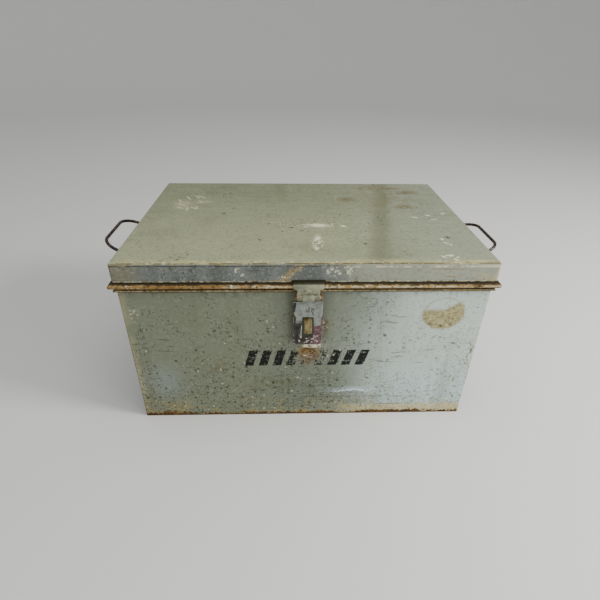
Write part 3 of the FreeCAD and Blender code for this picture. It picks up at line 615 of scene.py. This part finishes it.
def stencil_bars(kit):
    """A plain row of slanted stencilled bars, worn off in the middle, in place of the stencilled word."""
    low, high = 0.1215, 0.1555
    pitch, bar, first, count = 0.0245, 0.64, -0.108, 9
    x, _, z = kit.parts(kit.warped(220, 0.0040).socket)
    along = (x - first - (z - low) * 0.30) * (1 / pitch)
    step = kit.math("FRACT", along)
    inside = kit.band(along, 0, count, 0.01) * kit.band(z, low, high, 0.0006)
    worn_off = kit.spot(kit.place, (HASP_X + 0.006, -HALF_Y, 0.142), (0.030, FAR, 0.026), 0.6)
    keep = (kit.ragged(6.9) + worn_off * 0.16).between(0.64, 0.56)
    return step.between(bar + 0.02, bar - 0.02) * step.between(0.0, 0.04) * inside * keep


def rim_material():
    kit = Kit("rim_paint_rusted")
    bead_top = RIM_HIGH.z
    bead_low = bead_top - 0.0095
    lip_top = RIM_LOW.z + 0.0044
    left = kit.x.between(0.0, -0.22)
    patches = kit.grain(40, 5, 0.7, (0.6, 1, 1), 5.0)
    tan = kit.mix(srgb(112, 82, 38), srgb(158, 126, 72), patches.between(0.38, 0.58))
    tan = kit.mix(tan, srgb(136, 130, 100), kit.grain(60, 5, 0.7, shift=3.0).between(0.52, 0.64) * 0.6)
    tan = kit.mix(tan, srgb(134, 94, 40), left * 0.6)
    worn = kit.ragged(1.9) * 0.8 + kit.grain(16, 3, 0.6, shift=0.9) * 0.5
    worn = worn + kit.size(kit.z - bead_top + 0.0050).between(0.0012, 0.0046) * 0.2
    rust = worn.between(0.66, 0.86)
    ridge = kit.band(kit.z, bead_top - 0.0056, bead_top - 0.0032, 0.0008)
    flaking = kit.grain(26, 4, 0.65, shift=4.8).between(0.44, 0.58) * kit.ragged(2.1).between(0.52, 0.60)
    lit = ridge * (1 - left) * kit.grain(30, 4, 0.7, (1, 1, 0.2), 7.0).between(0.40, 0.54)
    lip = kit.band(kit.z, RIM_LOW.z + 0.0012, lip_top - 0.0002, 0.0007)
    pale = kit.most(flaking * 0.8, lit * 0.55, lip * kit.ragged(8.2).between(0.42, 0.54) * 0.45)
    # Painted shade in the groove between bead and lip, at the gap under the skirt on the bead's top, and
    # under the lip.
    groove_shade = kit.band(kit.z, lip_top - 0.0004, bead_low + 0.0016, 0.0007)
    upper_gap_shade = kit.z.between(bead_top - 0.0016, bead_top - 0.0006)
    lip_foot_shade = kit.z.between(RIM_LOW.z + 0.0016, RIM_LOW.z + 0.0006)
    nicks = kit.pits(160, 0.0030, 0.60)
    dark = kit.most(groove_shade * 0.85, upper_gap_shade * 0.9, lip_foot_shade * 0.85, nicks * 0.55)
    return weathered(kit, tan, rust * (1 - lip * 0.5), pale, dark)


def strap_tone(kit):
    clouds = kit.grain(80, 4, 0.6, shift=1.0).between(0.4, 0.6)
    tone = kit.mix(srgb(146, 146, 120), srgb(120, 124, 104), clouds)
    return kit.mix(tone, srgb(92, 92, 72), kit.grain(260, 4, 0.7, shift=2.0).between(0.54, 0.66) * 0.5)


def strap_material():
    kit = Kit("strap_paint_worn")
    low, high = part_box("hasp_strap")
    side = kit.least(kit.x - low.x, high.x - kit.x)
    necked = kit.z.between(RIM_HIGH.z - 0.006, RIM_HIGH.z - 0.010)
    side = side - necked * 0.004
    rust = (kit.ragged(1.9) + side.between(0.006, 0.0) * 0.35).between(0.60, 0.74)
    rust = rust * side.between(0.006, 0.001)
    # The barrel's underside painted darker as painted shade.
    barrel_shade = kit.z.between(low.z + 0.0110, low.z + 0.0080)
    paint = kit.mix(strap_tone(kit), srgb(88, 84, 66), barrel_shade * 0.7)
    low_rust = kit.z.between(low.z + 0.003, low.z) * kit.ragged(4.2).between(0.42, 0.6)
    rust = kit.most(rust * (0.4 + necked * 0.6), low_rust)
    pale = kit.grain(120, 4, 0.7, shift=6.1).between(0.58, 0.68) * 0.4
    pale = kit.most(pale, side.between(0.0045, 0.0) * kit.ragged(5.2).between(0.50, 0.58) * 0.85)
    # The strap's top, under the skirt's edge, painted dark as painted shade in the gap.
    skirt_gap_shade = kit.z.between(SKIRT_EDGE - 0.0008, SKIRT_EDGE + 0.0005)
    seam = kit.band(kit.z, low.z + 0.0098, low.z + 0.0108, 0.0004)
    seam = seam * kit.size(kit.x - HASP_X).between(0.018, 0.012)
    outline = side.between(0.0009, 0.0004) * 0.8
    dark = kit.most(kit.pits(150, 0.0020, 0.7) * 0.5, skirt_gap_shade * 0.97, seam * 0.7, outline)
    return weathered(kit, paint, rust, pale, dark)


TONGUE_NICKS = strewn_lines(17, (HASP_X + 0.004, 0.249), (0.008, 0.004), 0.014, -1.4, 5, 0.3)
TONGUE_FLECKS = strewn_lines(18, (HASP_X + 0.008, 0.188), (0.018, 0.009), 0.005, -0.5, 9, 0.9)


def tongue_material():
    kit = Kit("tongue_paint_chipped")
    place = kit.warped(110, 0.006)
    rough_x, _, rough_z = kit.parts(place.socket)
    right = rough_x.between(HASP_X - 0.0005, HASP_X + 0.0005)
    chip_line = 0.2180 - right * 0.0040 - (rough_x - HASP_X) * 0.10 * (1 - right)
    bare = (chip_line - rough_z).between(-0.0006, 0.0006)
    bulge = kit.size(rough_z - 0.240) * 0.16 + 0.0016
    left_edge = (bulge - rough_x + TONGUE_LOW.x).between(-0.0006, 0.0006)
    right_edge = (kit.z.between(0.245, 0.215) * 0.003 - TONGUE_HIGH.x + rough_x).between(-0.0006, 0.0006)
    bare = kit.most(bare, left_edge, right_edge) * kit.z.between(0.2600, 0.2590)
    clouds = kit.grain(110, 5, 0.7, shift=1.0).between(0.42, 0.62)
    paint = kit.mix(srgb(138, 143, 136), srgb(110, 115, 104), clouds)
    paint = kit.mix(paint, strap_tone(kit), kit.z.between(0.2604, 0.2612))
    gritty = kit.grain(110, 5, 0.7, shift=3.0).between(0.44, 0.62)
    steel = kit.mix(srgb(38, 37, 32), srgb(72, 66, 60), gritty)
    speckle = kit.grain(190, 5, 0.7, shift=4.0).between(0.40, 0.60)
    pinkish = kit.mix(srgb(74, 48, 52), srgb(128, 98, 100), speckle)
    steel = kit.mix(steel, pinkish, rough_x.between(HASP_X + 0.006, HASP_X + 0.010) * 0.85)
    low_chips = kit.ragged(2.2).between(0.56, 0.64) * kit.z.between(0.192, 0.180)
    steel = kit.mix(steel, srgb(112, 100, 88), low_chips * 0.8)
    flecks = kit.most(kit.scratches(FRONT_FACE, TONGUE_FLECKS, 0.0013),
                      kit.pits(330, 0.0022, 0.82) * kit.z.between(0.200, 0.186))
    steel = kit.mix(steel, srgb(196, 182, 168), flecks * 0.8)
    color = kit.mix(paint, steel, bare)
    scrape = kit.size(rough_x - HASP_X + 0.0106).between(0.0009, 0.0003)
    scrape = scrape * kit.band(kit.z, 0.190, 0.215, 0.002)
    color = kit.mix(color, srgb(206, 204, 192), scrape * 0.85)
    nicks = kit.scratches(FRONT_FACE, TONGUE_NICKS, 0.0011)
    color = kit.mix(color, srgb(34, 32, 26), nicks * 0.85)
    side = kit.least(kit.x - TONGUE_LOW.x, TONGUE_HIGH.x - kit.x)
    worn_edge = side.between(0.0014, 0.0004) * kit.ragged(7.0).between(0.50, 0.58)
    color = kit.mix(color, srgb(190, 168, 146), worn_edge * 0.7)
    height = kit.grain(500, 4, 0.6) * 0.3
    roughness = 0.42 + bare * 0.12 + kit.grain(90, 4, 0.6) * 0.12
    return kit.finish(color, roughness, height, bare * 0.1, 0.6, 0.0005, 0.3)


def bare_material(name, pale, brown, metallic):
    kit = Kit(name)
    cloud = kit.grain(120, 5, 0.65, shift=2.0)
    color = kit.mix(pale, brown, cloud.between(0.38, 0.66))
    color = kit.mix(color, RUST_DARK, kit.grain(300, 4, 0.7, shift=5.0).between(0.56, 0.70) * 0.7)
    lines = kit.grain(90, 3, 0.6, (0.2, 4, 1), 4.0)
    return kit.finish(color, 0.32 + cloud * 0.3, lines * 0.3 + cloud * 0.4, metallic, 0.5, 0.0004)


def rod_material():
    kit = Kit("black_rod_worn")
    cloud = kit.grain(90, 5, 0.65, shift=2.0)
    color = kit.mix(srgb(30, 26, 24), srgb(66, 54, 46), cloud.between(0.4, 0.7))
    worn = kit.grain(160, 5, 0.7, shift=6.0).between(0.52, 0.64)
    color = kit.mix(color, srgb(136, 112, 92), worn * 0.75)
    height = cloud * 0.5 - worn * 0.3
    return kit.finish(color, 0.22 + cloud * 0.2 + worn * 0.1, height, 0.35, 0.5, 0.0004)


def fitting_material():
    kit = Kit("fitting_paint_worn")
    clouds = kit.grain(50, 4, 0.6, shift=1.0).between(0.4, 0.65)
    paint = kit.mix(srgb(112, 116, 98), srgb(132, 135, 116), clouds)
    rust = kit.ragged(1.9).between(0.56, 0.68)
    pale = kit.grain(200, 5, 0.7, shift=6.1).between(0.6, 0.7) * 0.6
    dark = kit.pits(150, 0.0014, 0.66) * 0.6
    return weathered(kit, paint, rust, pale, dark)


# ---- sheet metal with the small dents and waves of use

def copy_as_bmesh(node):
    work = bmesh.new()
    work.from_mesh(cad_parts[node].data)
    bmesh.ops.remove_doubles(work, verts=work.verts, dist=1e-6)
    bmesh.ops.dissolve_limit(work, angle_limit=math.radians(0.4), verts=work.verts, edges=work.edges)
    return work


def slice_up(work, step):
    """Cut every face along planes a step apart, so that flat sheet can bend."""
    for axis in range(3):
        low = min(v.co[axis] for v in work.verts)
        high = max(v.co[axis] for v in work.verts)
        count = int((high - low) / step)
        normal = Vector([float(axis == i) for i in range(3)])
        for i in range(1, count + 1):
            cut = low + (high - low) * i / (count + 1)
            geometry = work.verts[:] + work.edges[:] + work.faces[:]
            bmesh.ops.bisect_plane(work, geom=geometry, dist=1e-6, plane_co=normal * cut, plane_no=normal)


def round_edges(work, width):
    """Round the sharp edges of a small forging or pressing."""
    sharp = [e for e in work.edges if len(e.link_faces) == 2 and e.calc_face_angle() > math.radians(32)]
    bmesh.ops.bevel(work, geom=sharp, offset=width, offset_type="OFFSET", segments=2, profile=0.5,
                    affect="EDGES", clamp_overlap=True)


def finished_piece(work, name, body, material, nodes):
    """A mesh object from the work, smooth except at real edges, standing for some CAD nodes."""
    for face in work.faces:
        face.smooth = True
    for edge in work.edges:
        edge.smooth = len(edge.link_faces) == 2 and edge.calc_face_angle() < math.radians(34)
    mesh = bpy.data.meshes.new(name)
    work.to_mesh(mesh)
    work.free()
    mesh.materials.append(material)
    piece = bpy.data.objects.new(name, mesh)
    bpy.context.scene.collection.objects.link(piece)
    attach(piece, body)
    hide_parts(*nodes)
    return piece


def smooth_step(value, low, high):
    t = min(1.0, max(0.0, (value - low) / (high - low)))
    return t * t * (3 - 2 * t)


def dent_depth(u, v, dents):
    """Summed depth of round dents, each given as (u, v, radius, depth)."""
    total = 0.0
    for centre_u, centre_v, radius, depth in dents:
        reach = math.hypot(u - centre_u, v - centre_v) / radius
        if reach < 1:
            total += depth * (1 - reach * reach) ** 2
    return total


def wave(u, v, seed):
    """Slow waviness of a large sheet, about -1 to 1."""
    return noise.noise(Vector((u * 7, v * 7, seed))) + 0.4 * noise.noise(Vector((u * 22, v * 22, seed + 5)))


WALL_DENTS = {
    "front_panel": [(-0.19, 0.115, 0.035, 0.0012), (0.245, 0.085, 0.045, 0.0014),
                    (-0.10, 0.235, 0.030, 0.0008), (0.12, 0.195, 0.040, 0.0010), (0.03, 0.09, 0.050, 0.0008)],
    "back_panel": [(-0.05, 0.14, 0.060, 0.0014), (0.22, 0.10, 0.040, 0.0012)],
    "left_end_panel": [(0.09, 0.10, 0.045, 0.0013), (-0.11, 0.17, 0.030, 0.0009)],
    "right_end_panel": [(-0.08, 0.09, 0.050, 0.0013), (0.12, 0.15, 0.030, 0.0009)],
}


def wall_push(node, along, height, half_run, seed):
    """How far in a wall's sheet is pushed at a place along it. Nothing moves near the edges and fittings."""
    free = smooth_step(height, 0.014, 0.05) * smooth_step(RIM_LOW.z - height, 0.004, 0.05)
    free *= smooth_step(half_run - abs(along), 0.010, 0.045)
    if node == "front_panel":
        free *= smooth_step(max(abs(along - HASP_X) - 0.022, abs(height - 0.215) - 0.03), 0.0, 0.03)
    if node == "back_panel":
        free *= smooth_step(max(abs(abs(along) - HINGE_X) - 0.032, 0.230 - height), 0.0, 0.03)
    if node.endswith("end_panel"):
        free *= smooth_step(max(abs(along) - 0.075, 0.190 - height), 0.0, 0.03)
    push = 0.0007 * wave(along, height, seed) + dent_depth(along, height, WALL_DENTS[node])
    return push * free


def crease_push(along, height):
    """The long shallow crease low on the front."""
    line = math.exp(-((height - 0.0435) / 0.0035) ** 2)
    return 0.0007 * line * smooth_step(along, -0.04, 0.0) * smooth_step(0.24 - along, 0.0, 0.04)


def wall(node, material, seed):
    work = copy_as_bmesh(node)
    slice_up(work, 0.0065)
    across = 0 if node.endswith("end_panel") else 1
    half_run = HALF_Y if across == 0 else HALF_X
    for vert in work.verts:
        along = vert.co[1 - across]
        push = wall_push(node, along, vert.co.z, half_run, seed)
        if node == "front_panel":
            push += crease_push(along, vert.co.z)
        inward = -1 if vert.co[across] > 0 else 1
        vert.co[across] += inward * push
    return finished_piece(work, node + "_sheet", "trunk", material, [node])


LID_DENTS = [(0.155, -0.02, 0.060, 0.0014), (-0.14, -0.07, 0.070, 0.0012), (0.05, 0.10, 0.050, 0.0010),
             (-0.21, 0.12, 0.040, 0.0010), (0.25, -0.12, 0.030, 0.0010), (0.0, -0.15, 0.040, 0.0008)]


def lid_push(x, y):
    """How far the lid's top is pressed down at a place: a slight dish, waves, dents and one long valley."""
    free = smooth_step(LID_X - abs(x), 0.006, 0.06) * smooth_step(LID_Y - abs(y), 0.006, 0.06)
    dish = 0.0016 * (1 - (x / LID_X) ** 2) * (1 - (y / LID_Y) ** 2)
    valley_x = 0.15 + 0.21 * y
    valley = 0.0008 * math.exp(-((x - valley_x) / 0.018) ** 2)
    return free * (dish + valley + 0.0009 * wave(x, y, 11.0) + dent_depth(x, y, LID_DENTS))


def lid_sheet(material):
    work = copy_as_bmesh("lid_pan")
    slice_up(work, 0.007)
    for vert in work.verts:
        x, y, z = vert.co
        on_top = smooth_step(z, LID_TOP - 0.006, LID_TOP - 0.003)
        vert.co.z -= on_top * lid_push(x, y)
        skirt = (1 - on_top) * smooth_step(z, SKIRT_EDGE, SKIRT_EDGE + 0.02)
        clear_of_hasp = smooth_step(abs(x - HASP_X), 0.03, 0.06)
        clear_of_hinges = smooth_step(abs(abs(x) - HINGE_X), 0.035, 0.06)
        free = skirt * clear_of_hasp * clear_of_hinges
        if abs(y) > LID_Y - 0.003 and abs(x) < LID_X - 0.02:
            vert.co.y -= math.copysign(0.0004 * free * wave(x, z, 3.0), y)
    return finished_piece(work, "lid_sheet", "lid", material, ["lid_pan"])


def small_piece(node, name, body, material, width, shape=None):
    work = copy_as_bmesh(node)
    round_edges(work, width)
    if shape:
        slice_up(work, 0.004)
        for vert in work.verts:
            vert.co = shape(vert.co)
    return finished_piece(work, name, body, material, [node])


def tongue_shape(co):
    """The tongue is bowed a little and its lower corners are knocked outwards."""
    drop = smooth_step(TONGUE_HIGH.z - 0.03 - co.z, 0.0, 0.06)
    side = (co.x - HASP_X) / 0.024
    knock = 0.0012 * smooth_step(-co.z, -0.186, -0.176) * (0.4 + 0.6 * side)
    bow = 0.0006 * math.sin((co.z - TONGUE_LOW.z) * 45)
    edge = 0.0005 * noise.noise(Vector((co.z * 60, side * 2, 4.0)))
    return Vector((co.x + edge, co.y - (knock + bow) * drop, co.z))


lid_paint = lid_material()
wall_paint = wall_material()
rim_paint = rim_material()
strap_paint = strap_material()
tongue_paint = tongue_material()
staple_steel = bare_material("staple_worn_steel", srgb(150, 134, 90), srgb(84, 68, 40), 0.4)
pin_steel = bare_material("pin_rusted_steel", srgb(150, 110, 70), srgb(92, 58, 36), 0.4)
rod_paint = rod_material()
fitting_paint = fitting_material()

for seed, wall_node in enumerate(("front_panel", "back_panel", "left_end_panel", "right_end_panel")):
    wall(wall_node, wall_paint, 2.0 + seed)
lid_sheet(lid_paint)
small_piece("hasp_tongue", "hasp_tongue_plate", "hasp", tongue_paint, 0.0005, tongue_shape)
small_piece("hasp_strap", "hasp_strap_bent", "lid", strap_paint, 0.0004)
small_piece("staple", "staple_loop", "trunk", staple_steel, 0.0006)
for hand in ("left", "right"):
    for kind, body in (("hinge_body_leaf", "trunk"), ("hinge_lid_leaf", "lid"), ("handle_plate", "trunk")):
        fitting = f"{kind}_{hand}"
        small_piece(fitting, fitting + "_rounded", body, fitting_paint, 0.0003)


def dress(node, material):
    """Give a CAD node that keeps its own shape its finished material."""
    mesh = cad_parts[node].data
    mesh.materials.clear()
    mesh.materials.append(material)


dress("rim_moulding", rim_paint)
dress("bottom_panel", wall_paint)
dress("staple_backing_plate", pin_steel)
dress("hasp_pin", pin_steel)
dress("hinge_body_rivets", fitting_paint)
dress("hinge_lid_rivets", fitting_paint)
for hand in ("left", "right"):
    dress(f"handle_{hand}", rod_paint)
    dress(f"handle_rivets_{hand}", fitting_paint)
    dress(f"hinge_pin_{hand}", pin_steel)


# ---- floor, light and camera

def stage_floor():
    """A round studio sweep: a wide flat floor that curves up into a wall far behind every view."""
    kit = Kit("studio_floor")
    material = kit.finish(srgb(224, 223, 220), 0.85, 0.0, strength=0.0)
    flat, rise, wall_top, steps, turns = 4.0, 2.0, 4.0, 12, 96
    profile = [(flat * 0.5, 0.0), (flat, 0.0)]
    for i in range(1, steps + 1):
        bend = math.radians(90 * i / steps)
        profile.append((flat + rise * math.sin(bend), rise * (1 - math.cos(bend))))
    profile.append((flat + rise, wall_top))
    work = bmesh.new()
    rings = []
    for radius, height in profile:
        angles = [2 * math.pi * i / turns for i in range(turns)]
        rings.append([work.verts.new((radius * math.cos(a), radius * math.sin(a), height)) for a in angles])
    work.faces.new(rings[0])
    for inner, outer in zip(rings, rings[1:]):
        for i in range(turns):
            after = (i + 1) % turns
            work.faces.new((inner[i], outer[i], outer[after], inner[after])).smooth = True
    mesh = bpy.data.meshes.new("studio_floor")
    work.to_mesh(mesh)
    work.free()
    mesh.materials.append(material)
    floor = bpy.data.objects.new("studio_floor", mesh)
    bpy.context.scene.collection.objects.link(floor)


def area_light(name, place, aim, size, power, color=(1, 1, 1)):
    data = bpy.data.lights.new(name, "AREA")
    data.shape = "RECTANGLE"
    data.size, data.size_y = size
    data.energy = power
    data.color = color
    light = bpy.data.objects.new(name, data)
    light.location = place
    light.rotation_euler = (Vector(aim) - Vector(place)).to_track_quat("-Z", "Y").to_euler()
    bpy.context.scene.collection.objects.link(light)


def studio():
    world = bpy.data.worlds.new("studio")
    world.use_nodes = True
    background = world.node_tree.nodes["Background"]
    background.inputs["Color"].default_value = (0.95, 0.97, 1.0, 1.0)
    background.inputs["Strength"].default_value = 0.55
    bpy.context.scene.world = world
    area_light("key", (2.1, -0.75, 1.5), (0, 0, 0.15), (0.7, 0.7), 60, (1.0, 0.985, 0.95))
    area_light("window", (1.05, -1.25, 0.55), (0.2, -0.2, 0.15), (0.5, 0.5), 7, (0.86, 0.94, 1.0))
    area_light("top", (0.1, -0.2, 2.4), (0, 0, 0.2), (1.8, 1.8), 16)


EYE = (-0.0339, -0.8014, 0.6291)


def camera():
    """A wide-angle view from the front, a little left of the middle, looking down at the lid."""
    yaw, pitch, roll = math.radians(-2.22), math.radians(31.78), math.radians(-0.88)
    data = bpy.data.cameras.new("camera")
    data.sensor_width = 36.0
    data.lens = 26.0
    eye = bpy.data.objects.new("camera", data)
    forward = Vector((0, math.cos(pitch), -math.sin(pitch)))
    down = Vector((0, -math.sin(pitch), -math.cos(pitch)))
    right = Vector((1, 0, 0))
    turned_right = right * math.cos(roll) + down * math.sin(roll)
    turned_down = down * math.cos(roll) - right * math.sin(roll)
    spin = Matrix.Rotation(yaw, 3, "Z")
    columns = [spin @ turned_right, spin @ -turned_down, spin @ -forward]
    eye.matrix_world = Matrix.Translation(EYE) @ Matrix(columns).transposed().to_4x4()
    bpy.context.scene.collection.objects.link(eye)
    bpy.context.scene.camera = eye


stage_floor()
studio()
camera()
